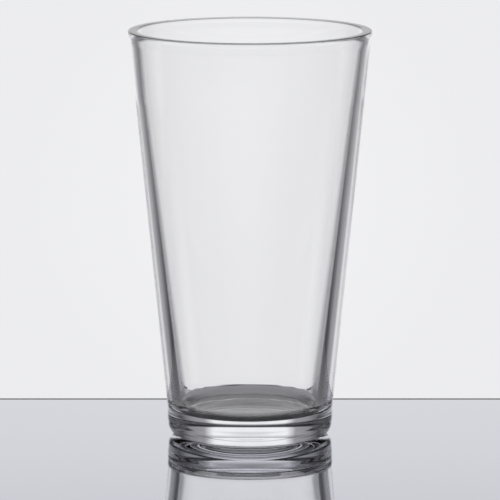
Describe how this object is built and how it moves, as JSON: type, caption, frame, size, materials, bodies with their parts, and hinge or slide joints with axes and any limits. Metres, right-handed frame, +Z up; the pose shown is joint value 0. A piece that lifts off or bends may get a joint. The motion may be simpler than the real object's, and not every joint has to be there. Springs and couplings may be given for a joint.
{
  "type": "pint glass",
  "caption": "Tall conical drinking glass of clear glass, wider at the mouth, with a thick solid base and a plain lip with rounded edges.",
  "frame": {"origin": "centre of the foot, on the plane that the glass stands on", "axes": "+Z up along the axis of the glass, out of the mouth; the glass is round, so X and Y are any two level directions"},
  "size_m": [0.0888, 0.0888, 0.1498],
  "materials": {
    "clear_glass": "clear soda-lime glass, fire-polished smooth, with faint pressing ripples low on the inner wall and floor"
  },
  "bodies": {
    "root": {"glass_body": "clear_glass"}
  },
  "joints": []
}
